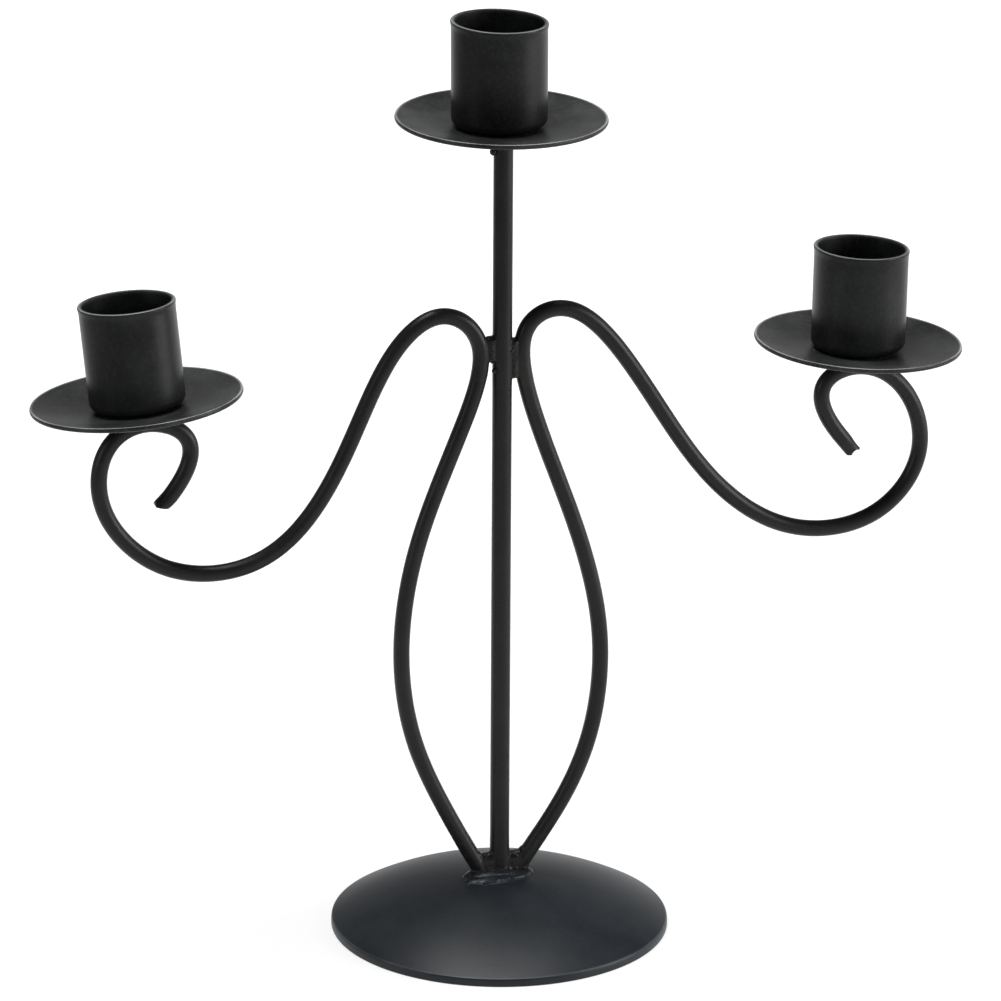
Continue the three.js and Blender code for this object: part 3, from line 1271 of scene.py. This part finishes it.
@dataclass
class Welds:
    """Every weld of the candelabra. Those that join rods are melted on to thin sleeves of them."""

    left: Centreline
    right: Centreline
    trail: BeadTrail
    rod_radius: float = 2.15
    stem_radius: float = 2.55
    dome: DomeBase = field(default_factory=DomeBase)

    def _stem(self, low: float, high: float) -> np.ndarray:
        """Points up the stem's axis."""
        return np.array([(0.0, 0.0, height) for height in np.linspace(low, high, 30)])

    def _room(self, node: str) -> tuple[np.ndarray, np.ndarray]:
        """The middle and the half sizes of a CAD node's box, in millimetres."""
        low, high = (np.array(corner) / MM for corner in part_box(node))
        return (low + high) / 2, (high - low) / 2

    def _ring(self, middle: np.ndarray, half: np.ndarray, out: float, up: float) -> list[Point]:
        """Points of a ring round a middle.

        Args:
            middle: the ring's middle.
            half: the half sizes of the room it lies in.
            out: the ring's radius as a share of them.
            up: its height over the middle as a share of them.

        Returns:
            The points, the last on the first.
        """
        return [
            tuple(middle + half * (out * math.cos(turn), out * math.sin(turn), up))
            for turn in np.linspace(0, 2 * math.pi, 17)
        ]

    def _on_dome(self, x: float, y: float, lift: float) -> Point:
        """A point over the dome's outer face.

        Args:
            x: its X.
            y: its Y.
            lift: how far it lies over the face.

        Returns:
            The point.
        """
        centre, radius, _ = self.dome.outer()
        return x, y, centre + math.sqrt(radius**2 - x * x - y * y) + lift

    def upper(self) -> bpy.types.Object:
        """The fills between the stem and both arms, the left one with an open V under it."""
        pool = WeldPool("weld_arm_fills", self.trail)
        pool.sleeve(self._stem(145.5, 166), self.stem_radius)
        pool.sleeve(self.left.stretch(0.38, 0.44), self.rod_radius)
        pool.sleeve(self.right.stretch(0.36, 0.435), self.rod_radius)
        for height in np.arange(156.3, 161.6, 0.5):
            pool.blob((-3.1, 0.0, height), (1.9, 1.85, 0.9))
        for height in np.arange(151.4, 160.9, 0.5):
            pool.blob((2.86, 0.0, height), (1.9, 1.95, 0.9))
        for front in (-1, 1):
            pool.beads([(-3.05, front * 1.4, 156.4), (-3.1, front * 1.45, 158.6),
                        (-3.15, front * 1.4, 161.2)], 0.5, 0.9, 0.06, 4 + front)
            pool.beads([(2.9, front * 1.5, 151.8), (2.85, front * 1.55, 155.5),
                        (2.85, front * 1.5, 160.0)], 0.48, 1.0, 0.06, 11 + front)
        pool.blob((-2.9, -1.6, 161.3), (0.45, 0.45, 0.45))
        pool.blob((2.0, -1.95, 158.4), (0.4, 0.4, 0.4))
        pool.blob((-3.0, -0.9, 155.4), (0.4, 0.5, 0.4))
        return pool.melt(0.15, 12, "weld_arm_left", "weld_arm_right")

    def legs(self) -> bpy.types.Object:
        """The block where both legs and the stem come together over the dome."""
        pool = WeldPool("weld_leg_block", self.trail)
        pool.sleeve(self._stem(14.6, 26), self.stem_radius)
        for side, line, lean_in in ((-1, self.left, 5.5), (1, self.right, 5.9)):
            pool.sleeve(line.stretch(0.0, 0.036), self.rod_radius)
            for height, reach, depth in (
                (15.6, 5.9, 2.0), (16.3, 5.6, 2.0), (17.0, 5.7, 1.95), (17.7, 5.8, 1.85),
                (18.3, 5.9, 1.6),
            ):
                web = np.array([(side * out, 0.0, height) for out in (0.5, 2.0, 3.5, reach)])
                pool.rod(web, depth, 64)
            pool.blob((side * 5.5, 0.0, 15.2), (2.6, 2.2, 1.4))
            pool.blob((side * 2.05, 0.0, 19.4), (0.9, 1.6, 1.9))
            pool.blob((side * lean_in, 0.0, 19.3), (0.85, 1.6, 1.7), side * 29)
        pool.beads([(-6.1, -1.3, 15.4), (-3.0, -1.75, 15.4), (0.0, -2.1, 15.4),
                    (3.0, -1.75, 15.3), (5.9, -1.3, 15.2)], 0.6, 0.5, 0.12, 31)
        pool.beads([(-6.1, 1.3, 15.4), (0.0, 2.1, 15.4), (5.9, 1.3, 15.2)], 0.6, 0.5, 0.12, 32)
        for x, y, z, size in ((-2.8, -1.6, 19.8, 0.45), (-4.3, -1.5, 19.6, 0.4),
                              (4.0, -1.6, 18.9, 0.42), (2.9, -1.7, 17.2, 0.4)):
            pool.blob((x, y, z), (size, size, size))
        return pool.melt(0.15, 12, "weld_leg_left", "weld_leg_right")

    def skirt(self) -> bpy.types.Object:
        """The puddle that ran out over the dome, with its folds."""
        pool = WeldPool("weld_base_puddle", self.trail)
        centre, radius, _ = self.dome.outer()
        reach = math.degrees(math.asin(PUDDLE_REACH / radius))
        lens = Profile().arc((0, centre), radius - PUDDLE_SINK, 90, 90 - reach, 30)
        for share in np.linspace(0, 1, 31):
            turn = math.radians(90 - reach * (1 - share))
            over = radius + 0.02 - 0.1 * max(0.0, 1 - share / 0.25)
            lens.to(over * math.cos(turn), centre + over * math.sin(turn))
        pool.turned(lens.centred())
        pool.balls.append((np.array((0.0, 0.0, centre)), radius))
        pool.blob((-1.2, -0.6, 13.6), (8.9, 4.6, 2.1))
        pool.blob((-1.5, -2.2, 13.5), (8.2, 4.9, 1.5))
        pool.blob((2.4, -1.4, 13.5), (5.6, 4.6, 1.5))
        pool.blob((-6.6, -2.8, 13.4), (3.6, 2.6, 1.1))
        pool.blob((-0.8, 2.0, 13.5), (6.6, 3.6, 1.5))
        pool.blob((6.0, -0.6, 13.6), (2.9, 2.6, 1.3))
        pool.blob((-6.4, -0.4, 13.7), (2.9, 2.4, 1.4))
        folds: tuple[tuple[Path2, float], ...] = (
            (((-10.2, -5.2), (-8.6, -3.6), (-6.8, -2.6), (-4.6, -4.4), (-2.2, -6.1)), 0.35),
            (((-5.8, -6.5), (-1.6, -6.0), (2.4, -5.5), (4.8, -4.8), (7.3, -2.9)), 0.42),
            (((-7.4, -1.9), (-5.0, -3.0), (-1.0, -3.9), (3.0, -3.7)), 0.92),
        )
        for index, (fold, lift) in enumerate(folds):
            path = [self._on_dome(x, y, lift) for x, y in fold]
            pool.beads(path, 0.32, 0.15, 0.04, 41 + index, 0.2)
        return pool.melt(0.15, 7, "weld_base_skirt", coat=PUDDLE_COAT)

    def collar(self, station: str) -> bpy.types.Object:
        """The weld between a pan's underside and the rod that carries it.

        Args:
            station: top, left or right.

        Returns:
            The finished piece.
        """
        middle, half = self._room(f"weld_pan_{station}")
        pool = WeldPool(f"weld_pan_{station}_collar", self.trail)
        if station == "top":
            low, high = middle[2] - half[2], middle[2] + half[2]
            pool.sleeve(self._stem(low - 1.5, high + 0.3), self.stem_radius)
        else:
            line = self.left if station == "left" else self.right
            pool.sleeve(line.stretch(0.9, 0.95), self.rod_radius)
        pool.blob(tuple(middle + (0, 0, half[2] * 0.15)), tuple(half * (0.94, 0.94, 0.8)))
        pool.beads(self._ring(middle, half, 0.7, 0.1), 0.55, 0.8, 0.1, 51)
        return pool.melt(0.14, 5, f"weld_pan_{station}")

    def nugget(self, station: str) -> bpy.types.Object:
        """The fused spot between a cup's floor and its pan.

        Args:
            station: top, left or right.

        Returns:
            The finished piece.
        """
        middle, half = self._room(f"weld_cup_{station}")
        pool = WeldPool(f"weld_cup_{station}_spot", self.trail)
        pool.blob(tuple(middle), tuple(half * (0.97, 0.97, 0.97)))
        pool.beads(self._ring(middle, half, 0.8, 0.0), 0.3, 0.5, 0.05, 61)
        return pool.melt(0.14, 3, f"weld_cup_{station}")

    def drop(self, node: str, size: float) -> bpy.types.Object:
        """A stray drop of weld stuck to a rod.

        Args:
            node: the CAD node that it stands for.
            size: the drop's radius.

        Returns:
            The finished piece.
        """
        middle, _ = self._room(node)
        pool = WeldPool(f"{node}_drop", self.trail)
        pool.blob(tuple(middle), (size, size, size * 1.05))
        return pool.melt(0.11, 3, node)

    def build(self) -> None:
        """Makes every weld."""
        self.upper()
        self.legs()
        self.skirt()
        for station in ("top", "left", "right"):
            self.collar(station)
            self.nugget(station)
        self.drop("weld_bead_low_left", 0.7)
        self.drop("weld_spatter_bead", 0.95)


# ------------------------------------------------------------------------------------- studio
@dataclass(frozen=True)
class SoftLight:
    """A square soft light that points at the candelabra."""

    name: str
    place: Point
    size: float
    power: float
    colour: tuple[float, float, float] = (1.0, 1.0, 1.0)

    def build(self, aim: Vector) -> None:
        """Makes the light.

        Args:
            aim: the point that it faces.
        """
        data = bpy.data.lights.new(self.name, "AREA")
        data.shape, data.size = "SQUARE", self.size
        data.energy, data.color = self.power, self.colour
        lamp = linked(self.name, data)
        lamp.location = self.place
        lamp.rotation_euler = (aim - Vector(self.place)).to_track_quat("-Z", "Y").to_euler()


@dataclass
class Studio:
    """A floor with painted light, soft lights and the camera."""

    azimuth: float = -16.0
    elevation: float = 18.79
    distance: float = 1.601
    roll: float = 0.32
    aim: Point = (0.0, 0.0, 0.1175)
    nudge: tuple[float, float] = (-0.000255, -0.000025)
    lens: float = 222.8
    lights: tuple[SoftLight, ...] = (
        SoftLight("overhead_softbox", (-0.12, 0.05, 1.5), 0.9, 25.0),
        SoftLight("right_softbox", (1.05, -0.5, 0.36), 0.65, 9.0),
        SoftLight("left_softbox", (-1.1, -0.25, 0.36), 0.5, 2.0),
    )

    def camera(self) -> None:
        """Makes the camera."""
        turn, rise, roll = (math.radians(v) for v in (self.azimuth, self.elevation, self.roll))
        back = Vector((
            math.sin(turn) * math.cos(rise), -math.cos(turn) * math.cos(rise), math.sin(rise),
        ))
        right = Vector((math.cos(turn), math.sin(turn), 0.0))
        up = back.cross(right)
        across = right * math.cos(roll) + up * math.sin(roll)
        upward = up * math.cos(roll) - right * math.sin(roll)
        data = bpy.data.cameras.new("camera")
        data.sensor_width, data.lens = 36.0, self.lens
        data.clip_start, data.clip_end = 0.05, 50.0
        camera = linked("camera", data)
        place = (
            Vector(self.aim) + across * self.nudge[0] + upward * self.nudge[1]
            + back * self.distance
        )
        turned = Matrix((across, upward, back)).transposed()
        camera.matrix_world = Matrix.Translation(place) @ turned.to_4x4()
        bpy.context.scene.camera = camera

    def floor(self) -> None:
        """Makes the floor, with painted light: it glows, and its colour and glow are darker to the
        left and to the front and brighter towards the back.
        """
        size = 6.0
        points = np.array([(-size, -size, 0), (size, -size, 0), (size, size, 0), (-size, size, 0)])
        floor = linked("floor", mesh_from("floor", points, [(0, 1, 2, 3)]))
        painted_floor = bpy.data.materials.new("floor_painted_light")
        painted_floor.use_nodes = True
        painted_floor.node_tree.nodes.clear()
        graph = NodeGraph(painted_floor.node_tree)
        place = graph.signal("ShaderNodeTexCoord", output="Object")
        split = graph.node("ShaderNodeSeparateXYZ", {}, {0: place})
        across, back = Signal(graph, split.outputs["X"]), Signal(graph, split.outputs["Y"])
        # Painted light: the floor is darker towards the left and towards the front.
        share = (0.35 + across.rise(-0.6, -0.2) * 0.65) * (0.5 + back.rise(-0.8, -0.25) * 0.5)

        def grey(level: Signal) -> Signal:
            """A grey of a varying level."""
            return graph.signal("ShaderNodeMix", {"data_type": "RGBA"}, {
                "Factor": level, 6: (0.0, 0.0, 0.0, 1.0), 7: (1.0, 1.0, 1.0, 1.0),
            }, 2)

        # Painted light: the floor glows, brighter towards the back, on top of its graded colour.
        shader = graph.signal("ShaderNodeBsdfPrincipled", {}, {
            "Base Color": grey(share * 0.4), "Roughness": 0.9, "Specular IOR Level": 0.1,
            "Emission Color": grey(share * (0.6 + back.rise(0.0, 0.9) * 0.35)),
            "Emission Strength": 1.0,
        })
        graph.node("ShaderNodeOutputMaterial", {}, {"Surface": shader})
        floor.data.materials.append(painted_floor)

    def build(self) -> None:
        """Makes the studio."""
        scene = bpy.context.scene
        scene.view_settings.view_transform = "Standard"
        world = bpy.data.worlds.new("studio")
        world.use_nodes = True
        world.node_tree.nodes.clear()
        graph = NodeGraph(world.node_tree)
        way = graph.signal("ShaderNodeTexCoord", output="Generated")
        split = graph.node("ShaderNodeSeparateXYZ", {}, {0: way})
        across, height = Signal(graph, split.outputs["X"]), Signal(graph, split.outputs["Z"])
        wall = (1 - height.rise(0.15, 0.55)) * (0.3 + across.rise(-0.35, 0.7) * 1.2)
        sky = graph.signal("ShaderNodeBackground", {}, {
            "Color": (1.0, 1.0, 1.0, 1.0), "Strength": 0.13 + wall * 0.45,
        })
        graph.node("ShaderNodeOutputWorld", {}, {"Surface": sky})
        scene.world = world
        self.camera()
        self.floor()
        for light in self.lights:
            light.build(Vector(self.aim))


# -------------------------------------------------------------------------------- candelabra
LEFT_LINE = Centreline(-1, (
    (5, 15), (8.5, 21), (15.5, 34), (24, 52.5), (27.5, 73.5), (26, 94), (21, 113.5), (11, 137),
    (2, 160.5), (16, 172.5), (30.5, 160.5), (40.5, 135), (51.5, 115), (67, 103.5),
    (90.5, 104.5), (108, 123), (105.5, 144), (88, 149), (77, 137.5), (91, 122.5),
))
RIGHT_LINE = Centreline(1, (
    (5, 15), (9, 21), (18, 33), (26, 52.5), (28, 75.5), (24.5, 95.5), (18, 115.5), (7.5, 142),
    (2.5, 165.5), (19, 171.5), (34, 153.5), (47.5, 130.5), (60.5, 113.5), (79, 101),
    (103.5, 102), (118, 121), (109.5, 143.5), (91, 149), (82, 137.5), (96.5, 122.5),
))


def main() -> None:
    """Builds the candelabra and its studio."""
    logging.basicConfig(level=logging.INFO, format="%(name)s %(message)s")
    Studio().build()
    sweep, trail = RodSweep(), BeadTrail()
    DomeBase().build()
    Stem().build(sweep)
    Arm("arm_left", LEFT_LINE, (TipCut(30, 1.5), TipCut(-50, -0.75)), 0.9, -0.5).build(sweep)
    Arm("arm_right", RIGHT_LINE, (TipCut(-33, -0.25),), 0.9, -0.35, 0.6, 1.5).build(sweep)
    for station, rim_slope in (("top", 2.2), ("left", 0.8), ("right", 2.0)):
        DripPan(station).build()
        CandleCup(station, rim_slope).build()
    Welds(LEFT_LINE, RIGHT_LINE, trail).build()


if __name__ == "__main__":
    main()
